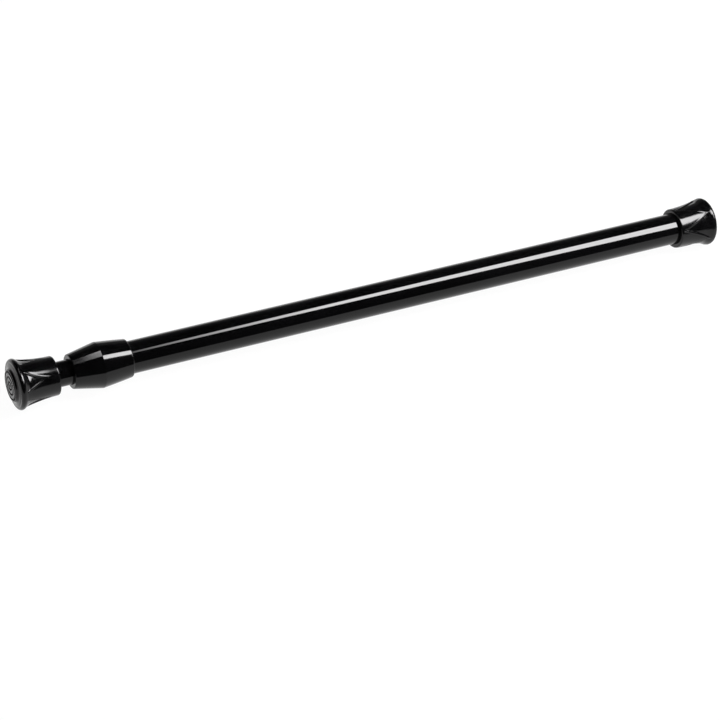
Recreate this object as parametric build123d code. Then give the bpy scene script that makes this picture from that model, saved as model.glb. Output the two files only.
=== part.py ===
"""Sprung telescoping bar with a twist lock and flared rubber ends.

Millimetres. X runs along the bar from the fixed end's contact face (x = 0)
to the sliding end. Z is up. Everything is drawn at the locked rest length.
"""
from build123d import *
import os

# Driving dimensions -----------------------------------------------------------
TOTAL = 314.0            # rest length over the two contact faces
OUTER_R = 6.5            # outer tube, outside radius
OUTER_BORE = 6.0
INNER_R = 5.0            # inner tube, outside radius
INNER_BORE = 4.5
RUNNING = 0.05           # radial clearance of every sliding or turning fit

CAP_LENGTH = 18.0        # rubber end caps
CAP_FLOOR = 3.6          # solid rubber between the contact face and the tube end
FLARE_X = 2.6            # widest plane of a cap, behind its contact face
PETALS = 5
RECESS_DEPTH = 0.45      # recess between two petals, below the petal surface
RECESS_HALF_ANGLE = 30.0  # at the flare
RECESS_TAPER = 1.3       # power by which a recess narrows towards the mouth
FIXED_RECESS_AT = 32.0   # turn of the first recess about X
SLIDING_RECESS_AT = -10.0

CAP_GAP = 6.0            # bare inner tube between collar and sliding end cap
COLLAR_NOSE = TOTAL - CAP_LENGTH - CAP_GAP
COLLAR_RIDGE = COLLAR_NOSE - 11.7
COLLAR_REAR = COLLAR_RIDGE - 12.4
COLLAR_NOSE_R = 6.8
COLLAR_RIDGE_R = 9.15
COLLAR_REAR_R = 7.6
OUTER_START = CAP_FLOOR
OUTER_END = COLLAR_RIDGE - 1.3   # the collar's inner shoulder stops the tube here
INNER_START = 62.6
INNER_END = TOTAL - CAP_FLOOR

ROD_R = 2.0              # threaded end and pinned end of the spindle
ROD_TIP = 8.5
DRIVE_START = 41.0       # double-flat length that carries the guide bush
DRIVE_END = 70.4
DRIVE_R = 2.6
DRIVE_FLAT = 2.0         # each flat's distance from the axis
THREAD_PITCH = 1.5

SLEEVE_START = 17.0      # expansion sleeve of the twist lock
SLEEVE_END = 38.4
SLEEVE_BORE = 2.9
DRAG_RING_X = 28.2
TAPER_START = 14.0       # taper nut
TAPER_END = 24.4
KEY_HALF_WIDTH = 0.7

HEAD_END = 75.4          # spindle head
SPRING_START = 76.2      # free length side of the spring
SPRING_END = 137.2       # held side of the spring
SPRING_WIRE_R = 0.55
SPRING_MEAN_R = 3.5
SPRING_TURNS = 18
STOP_START = 138.0
STOP_END = 148.0


def turned(points):
    """Solid of revolution about X from a closed (x, radius) outline."""
    return revolve(make_face(Polyline(*points, close=True)), axis=Axis.X)


def ring(x0, x1, inner, outer):
    """Plain ring, tube or disc along X."""
    return turned([(x0, inner), (x1, inner), (x1, outer), (x0, outer)])


def cross_pin(x, radius, half_length):
    """Pin across the bar, along Z."""
    return Pos(x, 0, 0) * Cylinder(radius, 2 * half_length)


def double_flat(x0, x1, radius, flat):
    """Round bar along X with two opposite flats."""
    bar = ring(x0, x1, 0, radius)
    slab = Pos((x0 + x1) / 2, 0, 0) * Box(x1 - x0, 2 * flat, 2 * radius)
    return bar & slab


# Rubber end caps --------------------------------------------------------------
def cap_body(back_points, bore, drop):
    """Revolved cap with its contact face at x = 0 and its mouth at +X.

    back_points runs (x, radius) from the flare to the mouth; drop lowers the
    skirt behind the flare to the floor of the recesses.
    """
    front = [(0, 0), (0, 5.3), (0.45, 5.65), (0.75, 5.75), (0.75, 6.25), (0.6, 6.45), (0.8, 7.2)]
    lip = ThreePointArc((0.8, 7.2), (1.25, 9.0), (FLARE_X, back_points[0][1]))
    skirt = [back_points[0]] + [(x, r - drop * min(1, (x - FLARE_X) / 1.8)) for x, r in back_points[1:]]
    mouth_r = skirt[-1][1]
    edges = [
        Polyline(*front),
        lip,
        Spline(*skirt, tangents=[(0.25, -1), (1, -0.02)]),
        Polyline((CAP_LENGTH - 0.5, mouth_r), (CAP_LENGTH, mouth_r - 0.5), (CAP_LENGTH, bore),
                 (CAP_FLOOR, bore), (CAP_FLOOR, 0), (0, 0)),
    ]
    return revolve(make_face(edges), axis=Axis.X)


def recess_wedge(tip_x):
    """One pointed cutter between two petals, wide at the flare, standing on +Y."""
    steps = 6
    side = []
    for i in range(steps):
        u = i / steps
        half = RECESS_HALF_ANGLE * (1 - u) ** RECESS_TAPER
        side.append((FLARE_X + 1.0 + u * (tip_x - FLARE_X - 1.0), 8.4 * half / 57.3))
    outline = side + [(tip_x, 0)] + [(x, -t) for x, t in reversed(side)]
    face = make_face(Polyline(*outline, close=True))
    return Rot(90, 0, 0) * Pos(0, 0, -12) * extrude(face, 7)


def end_cap(back_points, bore, first_angle):
    """Cap with raised petals and pointed recesses around its skirt."""
    petals = cap_body(back_points, bore, 0)
    floor = cap_body(back_points, bore, RECESS_DEPTH)
    for i in range(PETALS):
        petals -= Rot(first_angle + 360 / PETALS * i, 0, 0) * recess_wedge(CAP_LENGTH - 3)
    cap = floor + petals
    for radius in (1.55, 3.6):
        cap -= ring(-1, 0.35, radius - 0.3, radius + 0.3)
    return cap


def fixed_end_cap():
    back = [(FLARE_X, 10.1), (4.6, 9.75), (7.6, 9.2), (12.0, 8.6), (CAP_LENGTH - 0.5, 8.4)]
    return end_cap(back, OUTER_R, FIXED_RECESS_AT)


def sliding_end_cap():
    back = [(FLARE_X, 10.1), (4.6, 9.4), (7.0, 8.7), (11.0, 8.1), (CAP_LENGTH - 0.5, 7.75)]
    return Pos(TOTAL, 0, 0) * Rot(0, 180, 0) * end_cap(back, INNER_R, SLIDING_RECESS_AT)


# Tubes and collar -------------------------------------------------------------
def outer_tube():
    return ring(OUTER_START, OUTER_END, OUTER_BORE, OUTER_R)


def collar():
    return turned([
        (COLLAR_REAR, OUTER_R), (OUTER_END, OUTER_R), (OUTER_END, INNER_R + RUNNING),
        (COLLAR_NOSE, INNER_R + RUNNING), (COLLAR_NOSE, COLLAR_NOSE_R - 0.5),
        (COLLAR_NOSE - 0.5, COLLAR_NOSE_R),
        (COLLAR_RIDGE + 0.7, COLLAR_RIDGE_R - 0.12), (COLLAR_RIDGE, COLLAR_RIDGE_R),
        (COLLAR_RIDGE - 0.8, COLLAR_RIDGE_R - 0.05), (COLLAR_REAR + 0.6, COLLAR_REAR_R + 0.05),
        (COLLAR_REAR, COLLAR_REAR_R - 0.5),
    ])


def inner_tube():
    tube = ring(INNER_START, INNER_END, INNER_BORE, INNER_R)
    tube -= cross_pin((STOP_START + STOP_END) / 2, 1.0, INNER_R + 1)
    return tube - Pos(0, 0, 4.5) * cross_pin(INNER_START + 3.9, 0.8, 1.6)


# Twist lock -------------------------------------------------------------------
def expansion_sleeve():
    """Split sleeve with a taper in each end and a groove for the drag ring."""
    radius = OUTER_BORE - RUNNING
    sleeve = turned([
        (SLEEVE_START, 5.0), (SLEEVE_START + 8.0, SLEEVE_BORE), (SLEEVE_END - 8.0, SLEEVE_BORE),
        (SLEEVE_END, 5.0), (SLEEVE_END, radius - 0.2), (SLEEVE_END - 0.2, radius),
        (DRAG_RING_X + 0.8, radius), (DRAG_RING_X + 0.8, radius - 0.9),
        (DRAG_RING_X - 0.8, radius - 0.9), (DRAG_RING_X - 0.8, radius),
        (SLEEVE_START + 0.2, radius), (SLEEVE_START, radius - 0.2),
    ])
    middle = (SLEEVE_START + SLEEVE_END) / 2
    sleeve -= Pos(middle, 0, 5) * Box(30, 2 * KEY_HALF_WIDTH + 0.3, 10)
    for angle in (90, 180, 270):
        half_slot = Box(14, 0.8, 10)
        sleeve -= Rot(angle, 0, 0) * Pos(SLEEVE_START, 0, 5) * half_slot
        sleeve -= Rot(angle, 0, 0) * Pos(SLEEVE_END, 0, 5) * half_slot
    return sleeve


def drag_ring():
    radius = OUTER_BORE - RUNNING
    return ring(DRAG_RING_X - 0.75, DRAG_RING_X + 0.75, radius - 0.9, radius)


def taper_nut():
    """Threaded taper at the fixed-end side, keyed into the sleeve's split."""
    nut = turned([
        (TAPER_START, ROD_R + RUNNING), (TAPER_END, ROD_R + RUNNING), (TAPER_END, 2.9),
        (SLEEVE_START, 4.85), (TAPER_START, 4.85),
    ])
    depth = 0.25
    for i in range(6):
        x = TAPER_START + 1.0 + i * THREAD_PITCH
        nut -= turned([(x - 0.4, ROD_R), (x + 0.4, ROD_R), (x, ROD_R + RUNNING + depth)])
    key = Pos((TAPER_START + TAPER_END) / 2, 0, 4.2) * Box(
        TAPER_END - TAPER_START, 2 * KEY_HALF_WIDTH, 2.8)
    return nut + (key - ring(0, 40, 0, ROD_R + 0.5))


def spindle_rod():
    """Threaded tip, double-flat drive length and pinned end, in one rod."""
    rod = ring(ROD_TIP, DRIVE_START, 0, ROD_R)
    for i in range(10):
        x = TAPER_START - 2.5 + i * THREAD_PITCH
        rod -= turned([(x - 0.35, ROD_R + 0.1), (x + 0.35, ROD_R + 0.1), (x, ROD_R - 0.3)])
    rod -= ring(ROD_TIP + 1.0, ROD_TIP + 1.8, 1.4, 3)
    rod += double_flat(DRIVE_START, DRIVE_END, DRIVE_R, DRIVE_FLAT)
    rod += ring(DRIVE_END, SPRING_START + 3.8, 0, ROD_R)
    return rod - cross_pin((DRIVE_END + HEAD_END) / 2, 0.6, 5)


def retaining_clip():
    clip = ring(ROD_TIP + 1.0, ROD_TIP + 1.8, 1.4, 3.4)
    return clip - Pos(ROD_TIP + 1.4, 0, 3) * Box(2, 1.6, 6)


def fixed_cone():
    """Cone fast on the spindle at the sliding-end side of the sleeve."""
    return turned([
        (SLEEVE_END - 7.4, ROD_R), (DRIVE_START, ROD_R), (DRIVE_START, 5.4),
        (SLEEVE_END + 0.3, 5.4), (SLEEVE_END + 0.3, 4.85), (SLEEVE_END, 4.85),
        (SLEEVE_END - 7.4, 2.92),
    ])


def spindle_head():
    head = ring(DRIVE_END, HEAD_END, ROD_R, INNER_BORE - 0.35)
    return head - cross_pin((DRIVE_END + HEAD_END) / 2, 0.6, 5)


def head_pin():
    return cross_pin((DRIVE_END + HEAD_END) / 2, 0.6, 3.9)


# Inside the inner tube --------------------------------------------------------
def guide_bush():
    """Keyed bush in the inner tube's mouth; it slides along the spindle's flats."""
    bush = ring(INNER_START - 5.6, INNER_START, 0, OUTER_BORE - RUNNING)
    bush += ring(INNER_START, DRIVE_END - 0.4, 0, INNER_BORE)
    bush -= double_flat(INNER_START - 8, DRIVE_END + 1, DRIVE_R + RUNNING, DRIVE_FLAT + RUNNING)
    return bush - Pos(0, 0, 4.5) * cross_pin(INNER_START + 3.9, 0.8, 1.2)


def bush_pin():
    return Pos(0, 0, 4.13) * cross_pin(INNER_START + 3.9, 0.8, 0.8)


def spring_washer():
    return ring(HEAD_END, SPRING_START, ROD_R, INNER_BORE - 0.35)


def compression_spring():
    height = SPRING_END - SPRING_START - 2 * SPRING_WIRE_R
    path = Helix(height / SPRING_TURNS, height, SPRING_MEAN_R, direction=(1, 0, 0))
    wire = Plane(path @ 0, z_dir=path % 0) * Circle(SPRING_WIRE_R)
    return Pos(SPRING_START + SPRING_WIRE_R, 0, 0) * sweep(wire, path)


def stop_washer():
    return ring(SPRING_END, STOP_START, 1.2, INNER_BORE - 0.1)


def spring_stop():
    stop = ring(STOP_START, STOP_END, 0, INNER_BORE)
    return stop - cross_pin((STOP_START + STOP_END) / 2, 1.0, 6)


def spring_stop_pin():
    return cross_pin((STOP_START + STOP_END) / 2, 1.0, INNER_R - 0.12)


PARTS = [
    fixed_end_cap, outer_tube, collar, inner_tube, sliding_end_cap, expansion_sleeve, drag_ring,
    taper_nut, spindle_rod, retaining_clip, fixed_cone, spindle_head, head_pin, guide_bush,
    bush_pin, spring_washer, compression_spring, stop_washer, spring_stop, spring_stop_pin,
]

os.makedirs("parts", exist_ok=True)
for make in PARTS:
    export_step(make(), "parts/" + make.__name__ + ".step")
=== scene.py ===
"""Looks of a sprung telescoping bar with a twist lock and flared rubber ends.

Metres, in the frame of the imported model: X along the bar from the contact face
on the thick tube, Z up. Outlines are written in millimetres and scaled by MM.
"""
import bpy
import math
from collections import namedtuple
from mathutils import Matrix, Vector


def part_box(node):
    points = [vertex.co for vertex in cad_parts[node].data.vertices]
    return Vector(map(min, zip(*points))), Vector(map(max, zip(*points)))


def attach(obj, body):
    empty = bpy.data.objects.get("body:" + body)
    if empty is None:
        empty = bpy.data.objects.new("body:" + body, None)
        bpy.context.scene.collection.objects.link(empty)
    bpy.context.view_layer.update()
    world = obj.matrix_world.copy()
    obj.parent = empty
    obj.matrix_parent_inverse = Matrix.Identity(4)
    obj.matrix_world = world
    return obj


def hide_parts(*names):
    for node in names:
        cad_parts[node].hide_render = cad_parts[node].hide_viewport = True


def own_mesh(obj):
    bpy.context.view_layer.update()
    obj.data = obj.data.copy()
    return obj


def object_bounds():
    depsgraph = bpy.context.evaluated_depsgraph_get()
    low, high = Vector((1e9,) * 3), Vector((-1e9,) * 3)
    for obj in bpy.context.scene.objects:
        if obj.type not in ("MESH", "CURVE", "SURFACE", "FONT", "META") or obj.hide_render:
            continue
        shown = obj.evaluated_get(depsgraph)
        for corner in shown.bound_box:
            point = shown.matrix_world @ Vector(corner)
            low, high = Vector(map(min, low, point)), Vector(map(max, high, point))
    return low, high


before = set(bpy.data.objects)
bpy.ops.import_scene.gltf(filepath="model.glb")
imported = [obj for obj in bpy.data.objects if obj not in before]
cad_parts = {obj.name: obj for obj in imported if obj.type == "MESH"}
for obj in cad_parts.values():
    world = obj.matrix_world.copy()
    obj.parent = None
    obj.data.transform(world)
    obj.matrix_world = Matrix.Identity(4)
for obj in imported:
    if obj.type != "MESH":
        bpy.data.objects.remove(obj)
cad_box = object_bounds()
MM = 0.001

# Sizes that the looks share with the frame, in millimetres ----------------------
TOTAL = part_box("sliding_end_cap")[1].x / MM
CAP_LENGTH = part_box("fixed_end_cap")[1].x / MM
CAP_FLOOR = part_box("outer_tube")[0].x / MM
OUTER_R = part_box("outer_tube")[1].z / MM
INNER_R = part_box("inner_tube")[1].z / MM
COLLAR_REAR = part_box("collar")[0].x / MM
COLLAR_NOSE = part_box("collar")[1].x / MM
COLLAR_RIDGE_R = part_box("collar")[1].z / MM
FLARE_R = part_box("fixed_end_cap")[1].z / MM


# Mesh helpers -------------------------------------------------------------------
def mesh_object(name, verts, faces, smooth_angle=35):
    """Object from points in millimetres, smooth except at sharp creases."""
    mesh = bpy.data.meshes.new(name)
    mesh.from_pydata([(x * MM, y * MM, z * MM) for x, y, z in verts], [], faces)
    mesh.update()
    obj = bpy.data.objects.new(name, mesh)
    bpy.context.scene.collection.objects.link(obj)
    mesh.shade_smooth()
    mesh.set_sharp_from_angle(angle=math.radians(smooth_angle))
    return obj


def smooth_line(points, steps):
    """Monotone cubic curve through (x, radius) points with rising x."""
    slopes = []
    secants = [(b[1] - a[1]) / (b[0] - a[0]) for a, b in zip(points, points[1:])]
    for i in range(len(points)):
        before = secants[max(i - 1, 0)]
        after = secants[min(i, len(secants) - 1)]
        mean = 2 * before * after / (before + after or 1)
        slopes.append(0 if before * after < 0 else mean)
    line = []
    for i, (a, b) in enumerate(zip(points, points[1:])):
        width = b[0] - a[0]
        for k in range(steps):
            t = k / steps
            radius = (1 + 2 * t) * (1 - t) ** 2 * a[1] + t * (1 - t) ** 2 * width * slopes[i]
            radius += t * t * (3 - 2 * t) * b[1]
            radius += t * t * (t - 1) * width * slopes[i + 1]
            line.append((a[0] + t * width, radius))
    return line + [points[-1]]


SUPPORT = 0.02           # short edge beside a rounded corner, so that flats shade flat


def rounded(points, radii, steps=6):
    """Closed (x, radius) outline with each corner rounded by its own radius."""
    out = []
    count = len(points)
    for i, (corner, radius) in enumerate(zip(points, radii)):
        if radius == 0:
            out.append(corner)
            continue
        corner = Vector(corner)
        before = (Vector(points[i - 1]) - corner).normalized()
        after = (Vector(points[(i + 1) % count]) - corner).normalized()
        half = before.angle(after) / 2
        reach = radius / math.tan(half)
        centre = corner + (before + after).normalized() * (radius / math.sin(half))
        start = corner + before * reach - centre
        end = corner + after * reach - centre
        out.append(tuple(corner + before * (reach + SUPPORT)))
        for k in range(steps + 1):
            spoke = start.lerp(end, k / steps).normalized() * radius
            out.append(tuple(centre + spoke))
        out.append(tuple(corner + after * (reach + SUPPORT)))
    return out


def lathe(name, outline, segments=160):
    """Closed ring mesh: the outline, in (x, radius), turned about X."""
    verts = []
    faces = []
    count = len(outline)
    for s in range(segments):
        angle = 2 * math.pi * s / segments
        verts += [(x, r * math.cos(angle), r * math.sin(angle)) for x, r in outline]
    for s in range(segments):
        here = s * count
        there = (s + 1) % segments * count
        for i in range(count):
            k = (i + 1) % count
            faces.append((here + i, here + k, there + k, there + i))
    return mesh_object(name, verts, faces)


def step(low, high, value):
    """Smooth ramp from 0 at low to 1 at high."""
    t = min(max((value - low) / (high - low), 0), 1)
    return t * t * (3 - 2 * t)


# Rubber end caps ----------------------------------------------------------------
PETALS = 5
PETAL_HEIGHT = 0.45
PETAL_EDGE = 0.5         # width of the rounded step at a petal's edge
PETAL_CROWN = 0.05       # fall of a petal's surface towards its edge
CROWN_WIDTH = 1.3
CROWN_INSET = 0.3
CROWN_START = (0, 1.5)   # where the crown begins, counted from the recess's start
CROWN_END = 2.5          # length over which it dies out at the recess's end
BEAD_HEIGHT = 0.1        # thin raised line along a petal's edge
BEAD_WIDTH = 0.2
BEAD_INSET = 0.15
BEAD_START = (-0.5, 1.0)
BEAD_END = 1.5
RECESS_FADE = 1.2        # half the length over which a recess sinks behind the flare
CAP_CREASE = 50          # degrees; sharper edges of a cap stay sharp

# Outlines as (x, radius); x counts from the contact face
FLARE_X = 2.6                   # where the flare is widest
DIMPLE = [(0.9, 0.2), (0.8, 0.32), (0.1, 0.42), (0, 0.55)]
LIP = [(0.05, 6.2), (0.18, 6.4), (0.75, 6.65), (0.98, 6.95), (1.05, 7.4), (1.15, 8.1),
       (1.32, 8.5), (1.36, 8.7), (1.3, 8.95), (1.32, 9.25), (1.5, 9.6), (1.8, 9.88), (2.2, 10.05)]
MOUTH_X = CAP_LENGTH - 0.5      # where the skirt ends and the mouth's rounded edge begins
FIXED_SKIRT = [(FLARE_X, FLARE_R), (3.0, FLARE_R - 0.08), (4.2, 9.7), (7.0, 9.2), (12.0, 8.62),
               (15.5, 8.42), (MOUTH_X, 8.35)]
SLIDING_SKIRT = [(FLARE_X, FLARE_R), (3.0, FLARE_R - 0.1), (4.2, 9.45), (6.6, 8.75),
                 (10.0, 8.25), (14.0, 7.88), (MOUTH_X, 7.75)]
SKIRT_STEPS = 14
RING_GROOVES = [(1.55, 0.85), (3.5, 0.95), (5.45, 1.1)]     # middle radius and depth
GROOVE_SHAPE = [(-0.48, 0), (-0.38, 0.1), (-0.22, 0.8), (0, 1), (0.22, 0.8), (0.38, 0.1),
                (0.48, 0)]                                  # across, and share of the depth

# A recess between two petals: the angle of one recess's middle, then start and end along X,
# half width at the start and how fast it narrows. Angles are in degrees.
Recess = namedtuple("Recess", "middle start end widest power")
FIXED_RECESS = Recess(32, 4.4, CAP_LENGTH - 0.2, 36, 1.3)
SLIDING_RECESS = Recess(-10, 4.2, CAP_LENGTH - 3.0, 24, 1.5)


def recess_half_angle(x, recess):
    """Half width of a recess, as an angle: widest at the flare, pointed at the mouth."""
    u = min(max((x - recess.start) / (recess.end - recess.start), 0), 1)
    return math.radians(recess.widest) * (1 - u) ** recess.power


def skirt_radius(x, angle, base, recess):
    """Radius of a cap's outside behind the flare, with petals standing proud."""
    pitch = 2 * math.pi / PETALS
    offset = abs((angle - math.radians(recess.middle) + pitch / 2) % pitch - pitch / 2)
    start = recess.start
    end = recess.end
    sink = (recess_half_angle(x, recess) - offset) * base
    sunk = step(0.0, PETAL_EDGE, sink) * step(start - RECESS_FADE, start + RECESS_FADE, x)
    bead = BEAD_HEIGHT * math.exp(-((sink + BEAD_INSET) / BEAD_WIDTH) ** 2)
    bead *= step(start + BEAD_START[0], start + BEAD_START[1], x)
    bead *= 1 - step(end - BEAD_END, end, x)
    crown = PETAL_CROWN * step(0, 1, 1 + (sink + CROWN_INSET) / CROWN_WIDTH)
    crown *= step(start + CROWN_START[0], start + CROWN_START[1], x)
    crown *= 1 - step(end - CROWN_END, end, x)
    return base - PETAL_HEIGHT * sunk - crown + bead


def cap_mesh(name, skirt_points, bore, recess, segments=300):
    """Flared cap with its contact face at x = 0 and its mouth at +X."""
    face = list(DIMPLE)
    for middle, depth in RING_GROOVES:
        face += [(depth * down, middle + across) for across, down in GROOVE_SHAPE]
    face += LIP
    skirt = smooth_line(skirt_points, SKIRT_STEPS)
    end = skirt[-1][1]
    mouth = [(CAP_LENGTH - 0.32, end - 0.07), (CAP_LENGTH - 0.12, end - 0.22),
             (CAP_LENGTH, end - 0.45), (CAP_LENGTH, bore + 0.3), (CAP_LENGTH - 0.1, bore + 0.1),
             (CAP_LENGTH - 0.3, bore), (CAP_FLOOR, bore), (CAP_FLOOR, 0.2)]
    rows = [(x, r, False) for x, r in face] + [(x, r, True) for x, r in skirt]
    rows += [(x, r, False) for x, r in mouth]
    verts = []
    for s in range(segments):
        angle = 2 * math.pi * s / segments
        for x, r, shaped in rows:
            radius = skirt_radius(x, angle, r, recess) if shaped else r
            verts.append((x, radius * math.cos(angle), radius * math.sin(angle)))
    count = len(rows)
    faces = []
    for s in range(segments):
        here = s * count
        there = (s + 1) % segments * count
        for i in range(count - 1):
            faces.append((here + i, here + i + 1, there + i + 1, there + i))
    faces.append([s * count for s in range(segments)])
    faces.append([s * count + count - 1 for s in reversed(range(segments))])
    return mesh_object(name, verts, faces, CAP_CREASE)


def fixed_cap():
    """Cap on the thick tube, at x = 0."""
    return cap_mesh("fixed_cap_rubber", FIXED_SKIRT, OUTER_R, FIXED_RECESS)


def sliding_cap():
    """Cap on the thin tube, turned round to face +X at the far end."""
    cap = cap_mesh("sliding_cap_rubber", SLIDING_SKIRT, INNER_R, SLIDING_RECESS)
    to_end = Matrix.Translation((TOTAL * MM, 0, 0)) @ Matrix.Rotation(math.pi, 4, "Z")
    cap.data.transform(to_end)
    return cap


# Tubes and collar ---------------------------------------------------------------
TUBE_WALL = 0.5
TUBE_EDGE = TUBE_WALL * 0.4     # rounding of the cut ends

COLLAR_RIDGE_X = COLLAR_NOSE - 11.7
COLLAR_BEND_X = COLLAR_REAR + 5.8       # where the rear cone bends down to the rear edge
COLLAR_BEND_R = 8.42
COLLAR_BEND_ROUNDING = 300
COLLAR_NOSE_R = 6.8
COLLAR_REAR_R = 7.6
NOSE_CLEARANCE = 0.05


def tube(name, node):
    """Thin tube with rounded ends."""
    low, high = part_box(node)
    radius = high.z / MM
    x0 = low.x / MM
    x1 = high.x / MM
    bore = radius - TUBE_WALL
    corners = [(x0, bore), (x1, bore), (x1, radius), (x0, radius)]
    return lathe(name, rounded(corners, [TUBE_EDGE] * 4, 3), 192)


def collar():
    """Double cone round the thick tube's end, with a bore for the thin tube in its nose."""
    nose_bore = INNER_R + NOSE_CLEARANCE
    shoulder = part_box("outer_tube")[1].x / MM
    corners = [(COLLAR_REAR, OUTER_R), (shoulder, OUTER_R), (shoulder, nose_bore),
               (COLLAR_NOSE, nose_bore), (COLLAR_NOSE, COLLAR_NOSE_R),
               (COLLAR_RIDGE_X, COLLAR_RIDGE_R), (COLLAR_BEND_X, COLLAR_BEND_R),
               (COLLAR_REAR, COLLAR_REAR_R)]
    radii = [0.15, 0, 0, 0.25, 0.5, 0.8, COLLAR_BEND_ROUNDING, 0.6]
    return lathe("collar_shell", rounded(corners, radii, 10), 224)


# Spring -------------------------------------------------------------------------
SPRING_WIRE_R = 0.55
SPRING_TURNS = 18
SPRING_DEAD_TURNS = 1.5  # touching turns at each end
SPRING_STEPS = 28        # rings of points in one turn
SPRING_SIDES = 12        # points in one ring
DEAD_TURN_GAP = 0.03


def spring():
    """Round wire wound about X, with closed turns at both ends."""
    low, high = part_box("compression_spring")
    start = low.x / MM + SPRING_WIRE_R
    length = high.x / MM - SPRING_WIRE_R - start
    mean = high.z / MM - SPRING_WIRE_R
    tight = 2 * SPRING_WIRE_R + DEAD_TURN_GAP
    live_turns = SPRING_TURNS - 2 * SPRING_DEAD_TURNS
    pitch = (length - 2 * SPRING_DEAD_TURNS * tight) / live_turns
    sides = SPRING_SIDES
    verts = []
    for i in range(SPRING_TURNS * SPRING_STEPS + 1):
        turn = i / SPRING_STEPS
        live = min(max(turn - SPRING_DEAD_TURNS, 0), live_turns)
        x = start + live * pitch + (turn - live) * tight
        angle = 2 * math.pi * turn
        for k in range(sides):
            spoke = 2 * math.pi * k / sides
            radius = mean + SPRING_WIRE_R * math.cos(spoke)
            along = x + SPRING_WIRE_R * math.sin(spoke)
            verts.append((along, radius * math.cos(angle), radius * math.sin(angle)))
    faces = []
    rings = len(verts) // sides
    for i in range(rings - 1):
        for k in range(sides):
            n = (k + 1) % sides
            here = i * sides
            there = (i + 1) * sides
            faces.append((here + k, here + n, there + n, there + k))
    faces.append(list(reversed(range(sides))))
    faces.append([(rings - 1) * sides + k for k in range(sides)])
    return mesh_object("spring_coil", verts, faces)


# Materials ----------------------------------------------------------------------
RAMP_STOPS = (0.35, 0.65)       # the middle part of a noise's values, which a ramp spreads out
BLACK = 0.0012
BLACK_IOR = 1.37
BLUE_CAST = 1.1          # how much more blue than red a black skin has

# Noise scales, in features per metre
SKIN_PATCHES = 160
SKIN_WEAR = 900
PLASTIC_PATCHES = 500
PLASTIC_WEAR = 2500
PLASTIC_GRAIN = 4000
STEEL_SPECKS = 3000


def principled(name, colour, roughness, metallic=0.0, ior=1.5):
    """Material with a Principled shader; uniform values stay on its own sockets."""
    mat = bpy.data.materials.new(name)
    mat.use_nodes = True
    shader = mat.node_tree.nodes["Principled BSDF"]
    shader.inputs["Base Color"].default_value = (*colour, 1)
    shader.inputs["Roughness"].default_value = roughness
    shader.inputs["Metallic"].default_value = metallic
    shader.inputs["IOR"].default_value = ior
    return mat, mat.node_tree, shader


def noise(tree, scale, detail=2.0, stretch=(1, 1, 1)):
    """Noise in object space; scale counts features per metre, stretch below 1 draws them out."""
    coords = tree.nodes.new("ShaderNodeTexCoord")
    mapping = tree.nodes.new("ShaderNodeMapping")
    mapping.inputs["Scale"].default_value = stretch
    texture = tree.nodes.new("ShaderNodeTexNoise")
    texture.inputs["Scale"].default_value = scale
    texture.inputs["Detail"].default_value = detail
    tree.links.new(coords.outputs["Object"], mapping.inputs["Vector"])
    tree.links.new(mapping.outputs["Vector"], texture.inputs["Vector"])
    return texture.outputs["Fac"]


def ramp(tree, source, low, high):
    """Turns a noise into values or colours between low and high."""
    node = tree.nodes.new("ShaderNodeValToRGB")
    for element, position, value in zip(node.color_ramp.elements, RAMP_STOPS, (low, high)):
        colour = value if isinstance(value, tuple) else (value, value, value)
        element.position = position
        element.color = (*colour, 1)
    tree.links.new(source, node.inputs["Fac"])
    return node.outputs["Color"]


def bump(tree, shader, height, strength, distance):
    """Fine surface relief; distance is in metres."""
    node = tree.nodes.new("ShaderNodeBump")
    node.inputs["Strength"].default_value = strength
    node.inputs["Distance"].default_value = distance
    tree.links.new(height, node.inputs["Height"])
    tree.links.new(node.outputs["Normal"], shader.inputs["Normal"])


def gloss_black(name, roughness, mottling, relief, relief_scale, stretch=(1, 1, 1)):
    """Black gloss skin: faint colour mottling, uneven gloss and fine relief, in metres."""
    mat, tree, shader = principled(name, (BLACK, BLACK, BLACK), roughness, ior=BLACK_IOR)
    patches = noise(tree, SKIN_PATCHES, 3.0, stretch)
    light = BLACK + mottling
    dark_tone = (BLACK, BLACK, BLACK * BLUE_CAST)
    light_tone = (light, light, light * BLUE_CAST)
    tone = ramp(tree, patches, dark_tone, light_tone)
    tree.links.new(tone, shader.inputs["Base Color"])
    wear = noise(tree, SKIN_WEAR, 4.0, stretch)
    gloss = ramp(tree, wear, roughness * 0.85, roughness * 1.2)
    tree.links.new(gloss, shader.inputs["Roughness"])
    bump(tree, shader, noise(tree, relief_scale, 2.0, stretch), 1.0, relief)
    return mat


def plain_plastic(name, colour, roughness, relief):
    """Moulded plastic of the hidden pieces."""
    mat, tree, shader = principled(name, colour, roughness)
    darker = tuple(c * 0.85 for c in colour)
    tone = ramp(tree, noise(tree, PLASTIC_PATCHES, 3.0), darker, colour)
    tree.links.new(tone, shader.inputs["Base Color"])
    gloss = ramp(tree, noise(tree, PLASTIC_WEAR, 3.0), roughness * 0.8, roughness * 1.2)
    tree.links.new(gloss, shader.inputs["Roughness"])
    bump(tree, shader, noise(tree, PLASTIC_GRAIN, 2.0), 1.0, relief)
    return mat


STEEL_RELIEF = 0.00001   # metres


def steel(name, colour, roughness, stretch):
    """Plated or drawn steel; a stretch below 1 turns its specks into lines along that axis."""
    mat, tree, shader = principled(name, colour, roughness, metallic=1.0)
    darker = tuple(c * 0.7 for c in colour)
    lines = noise(tree, STEEL_SPECKS, 4.0, stretch)
    tone = ramp(tree, lines, darker, colour)
    tree.links.new(tone, shader.inputs["Base Color"])
    gloss = ramp(tree, lines, roughness * 0.75, roughness * 1.3)
    tree.links.new(gloss, shader.inputs["Roughness"])
    bump(tree, shader, lines, 0.6, STEEL_RELIEF)
    return mat


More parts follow.
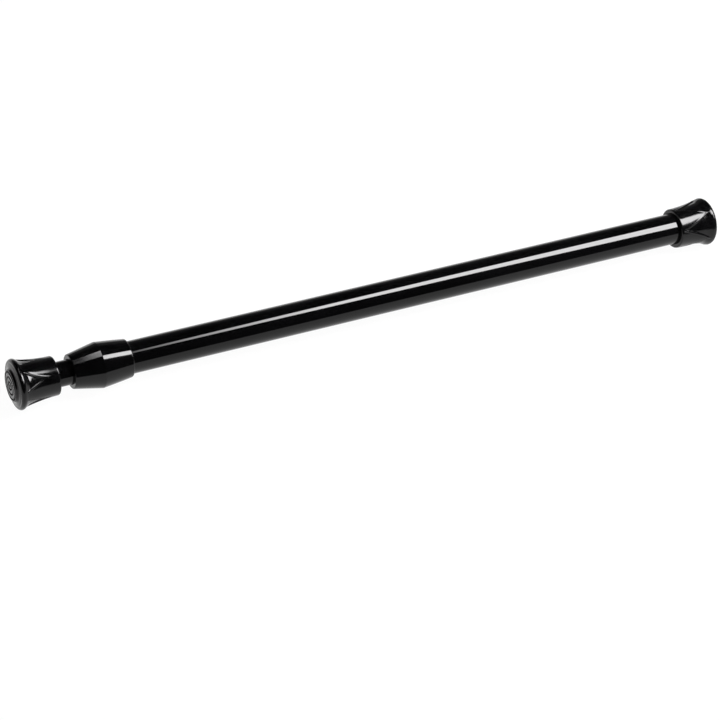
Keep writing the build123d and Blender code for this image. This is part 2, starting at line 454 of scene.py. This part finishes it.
def dress(obj, mat):
    """Gives an object one material and no other."""
    obj.data.materials.clear()
    obj.data.materials.append(mat)


# Camera, lights and floor --------------------------------------------------------
CAMERA_PLACE = Vector((569.6, 640.9, 699.8)) * MM
CAMERA_AIM = Vector((179.9, 29.75, 0.15)) * MM
CAMERA_ROLL = math.radians(10.0)
CAMERA_LENS = 128.3

# Light panels, as (x, y) corners in millimetres, all at one height
PANEL_HEIGHT = 600
MAIN_PANEL = [(-150, 0), (-20, 20), (75, 70), (75, 190), (-50, 215), (-209, 290), (-430, 490),
              (-560, 590), (-560, 60), (-313, 20)]
MAIN_RADIANCE = 27
MAIN_FADE = (-70, 75)    # where the panel's dimming starts and ends along X
SIDE_PANEL = [(250, -270), (306, -270), (331, 60), (290, 60)]
SIDE_RADIANCE = 14
SIDE_FADE = (290, 360)
PANEL_LEFT = 0.1         # share of a panel's light that is left at the end of its fade
FILL_X = 150
FILL_HEIGHT = 1500
FILL_SIDE = 2500
FILL_RADIANCE = 0.3

# Brightness of the surroundings by the height of a direction; the +Y side counts as higher
SURROUNDINGS = [(0.0, 0.17), (0.15, 0.12), (0.3, 0.004)]
HEIGHT_OF_DIRECTION = (0, 0.25, 1)

FLOOR_HALF = 3.0         # metres from the middle of the floor to each side
WALL_HEIGHT = 4.0
FLOOR_GLOW = 0.97
FLOOR_GREY = 0.04        # low, so that the bar's shade on the floor stays faint


def aimed(obj, place, aim, roll=0.0):
    """Puts a camera or lamp at place, looking at aim."""
    turn = (aim - place).to_track_quat("-Z", "Y").to_matrix().to_4x4()
    obj.matrix_world = Matrix.Translation(place) @ turn @ Matrix.Rotation(roll, 4, "Z")
    bpy.context.scene.collection.objects.link(obj)


def camera():
    """Camera above the bar and beyond its sliding end, rolled a little about its view."""
    data = bpy.data.cameras.new("camera")
    data.lens = CAMERA_LENS
    data.clip_end = 20
    obj = bpy.data.objects.new("camera", data)
    aimed(obj, CAMERA_PLACE, CAMERA_AIM, CAMERA_ROLL)
    bpy.context.scene.camera = obj


def fill_light():
    """Wide dim lamp far above, which lights the bar and leaves no streak in its gloss."""
    data = bpy.data.lights.new("fill", "AREA")
    data.shape = "RECTANGLE"
    data.size = FILL_SIDE * MM
    data.size_y = FILL_SIDE * MM
    data.energy = FILL_RADIANCE * math.pi * data.size * data.size_y
    obj = bpy.data.objects.new("fill", data)
    aimed(obj, Vector((FILL_X, 0, FILL_HEIGHT)) * MM, Vector((FILL_X, 0, 0)) * MM)
    obj.visible_glossy = False
    obj.visible_camera = False


def panel(name, corners, radiance, fade):
    """Glowing flat sheet above the bar, dimming along X; the camera doesn't see it."""
    mesh = bpy.data.meshes.new(name)
    face = list(reversed(range(len(corners))))
    mesh.from_pydata([(x * MM, y * MM, PANEL_HEIGHT * MM) for x, y in corners], [], [face])
    obj = bpy.data.objects.new(name, mesh)
    bpy.context.scene.collection.objects.link(obj)
    mat, tree, shader = principled(name + "_glow", (0, 0, 0), 1.0)
    shader.inputs["Emission Color"].default_value = (1, 0.99, 1, 1)
    coords = tree.nodes.new("ShaderNodeTexCoord")
    split = tree.nodes.new("ShaderNodeSeparateXYZ")
    glow = tree.nodes.new("ShaderNodeMapRange")
    glow.inputs["From Min"].default_value = fade[0] * MM
    glow.inputs["From Max"].default_value = fade[1] * MM
    glow.inputs["To Min"].default_value = radiance
    glow.inputs["To Max"].default_value = radiance * PANEL_LEFT
    tree.links.new(coords.outputs["Object"], split.inputs["Vector"])
    tree.links.new(split.outputs["X"], glow.inputs["Value"])
    tree.links.new(glow.outputs["Result"], shader.inputs["Emission Strength"])
    dress(obj, mat)
    obj.visible_camera = False
    obj.visible_shadow = False


def studio():
    """Grey surroundings low down, dark above, so that gloss shows bands and streaks."""
    world = bpy.data.worlds.new("studio")
    bpy.context.scene.world = world
    world.use_nodes = True
    tree = world.node_tree
    coords = tree.nodes.new("ShaderNodeTexCoord")
    tilt = tree.nodes.new("ShaderNodeVectorMath")
    tilt.operation = "DOT_PRODUCT"
    tilt.inputs[1].default_value = HEIGHT_OF_DIRECTION
    bands = tree.nodes.new("ShaderNodeValToRGB")
    tree.links.new(coords.outputs["Generated"], tilt.inputs[0])
    tree.links.new(tilt.outputs["Value"], bands.inputs["Fac"])
    tree.links.new(bands.outputs["Color"], tree.nodes["Background"].inputs["Color"])
    stops = bands.color_ramp.elements
    stops.new(SURROUNDINGS[1][0])
    for stop, (height, level) in zip(stops, SURROUNDINGS):
        stop.position = height
        stop.color = (level, level, level, 1)


def floor():
    """Pale floor just under the flares, and pale walls round it that only the camera sees."""
    low = cad_box[0].z
    square = [(-FLOOR_HALF, -FLOOR_HALF), (FLOOR_HALF, -FLOOR_HALF), (FLOOR_HALF, FLOOR_HALF),
              (-FLOOR_HALF, FLOOR_HALF)]
    foot = [(x, y, low) for x, y in square]
    head = [(x, y, low + WALL_HEIGHT) for x, y in square]
    mat, tree, shader = principled("floor_light_table", (FLOOR_GREY,) * 3, 1.0)
    shader.inputs["Specular IOR Level"].default_value = 0.0
    shader.inputs["Emission Color"].default_value = (1, 1, 1, 1)
    shader.inputs["Emission Strength"].default_value = FLOOR_GLOW
    sheets = {
        "floor": (foot, [(0, 1, 2, 3)]),
        "walls": (foot + head, [(k, k + 4, (k + 1) % 4 + 4, (k + 1) % 4) for k in range(4)]),
    }
    for name, (verts, faces) in sheets.items():
        mesh = bpy.data.meshes.new(name)
        mesh.from_pydata(verts, [], faces)
        obj = bpy.data.objects.new(name, mesh)
        bpy.context.scene.collection.objects.link(obj)
        dress(obj, mat)
    walls = bpy.data.objects["walls"]
    walls.visible_diffuse = False
    walls.visible_glossy = False
    walls.visible_transmission = False
    walls.visible_shadow = False


# Assembly -----------------------------------------------------------------------
camera()
studio()
floor()
panel("main_panel", MAIN_PANEL, MAIN_RADIANCE, MAIN_FADE)
panel("side_panel", SIDE_PANEL, SIDE_RADIANCE, SIDE_FADE)
fill_light()

PIECES = [
    (fixed_cap(), "outer", "fixed_end_cap", "cap_rubber"),
    (sliding_cap(), "inner", "sliding_end_cap", "cap_rubber_sliding"),
    (tube("outer_tube_skin", "outer_tube"), "outer", "outer_tube", "black_paint"),
    (tube("inner_tube_skin", "inner_tube"), "inner", "inner_tube", "black_paint_inner"),
    (collar(), "outer", "collar", "collar_plastic"),
    (spring(), "inner", "compression_spring", "spring_steel"),
]
EVEN = (1, 1, 1)
ALONG_TUBE = (0.2, 1, 1)        # noise drawn out along X
DRAWN_LINES = (0.1, 1, 1)
SPRING_GREY = (0.32, 0.32, 0.34)
SKINS = {
    "cap_rubber": gloss_black("cap_rubber_look", 0.14, 0.0015, 0.000004, 1500),
    "cap_rubber_sliding": gloss_black("cap_rubber_sliding_look", 0.14, 0.0015, 0.000004, 1500),
    "black_paint": gloss_black("paint_look", 0.06, 0.0008, 0.000001, 700, ALONG_TUBE),
    "black_paint_inner": gloss_black("paint_inner_look", 0.08, 0.0008, 0.000001, 700, ALONG_TUBE),
    "collar_plastic": gloss_black("collar_look", 0.08, 0.001, 0.000002, 1100),
    "spring_steel": steel("spring_wire_look", SPRING_GREY, 0.3, EVEN),
}
for piece, body, node, slot in PIECES:
    dress(piece, SKINS[slot])
    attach(piece, body)
    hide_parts(node)
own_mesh(PIECES[-1][0])

NYLON = plain_plastic("nylon_look", (0.74, 0.71, 0.64), 0.45, 0.000006)
BLACK_PLASTIC = plain_plastic("black_plastic_look", (0.03, 0.03, 0.032), 0.4, 0.000006)
RING_RUBBER = plain_plastic("ring_rubber_look", (0.02, 0.02, 0.02), 0.7, 0.00001)
DRAWN_STEEL = steel("drawn_steel_look", (0.55, 0.55, 0.57), 0.28, DRAWN_LINES)
SPRING_STEEL = steel("spring_steel_look", SPRING_GREY, 0.3, EVEN)
INNER_LOOKS = {
    "expansion_sleeve": NYLON, "taper_nut": NYLON, "drag_ring": RING_RUBBER,
    "fixed_cone": BLACK_PLASTIC, "guide_bush": BLACK_PLASTIC, "spring_stop": BLACK_PLASTIC,
    "spindle_rod": DRAWN_STEEL, "spindle_head": DRAWN_STEEL, "head_pin": DRAWN_STEEL,
    "bush_pin": DRAWN_STEEL, "spring_stop_pin": DRAWN_STEEL, "spring_washer": DRAWN_STEEL,
    "stop_washer": DRAWN_STEEL, "retaining_clip": SPRING_STEEL,
}
for node, look in INNER_LOOKS.items():
    dress(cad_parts[node], look)

bpy.context.scene.view_settings.view_transform = "Standard"
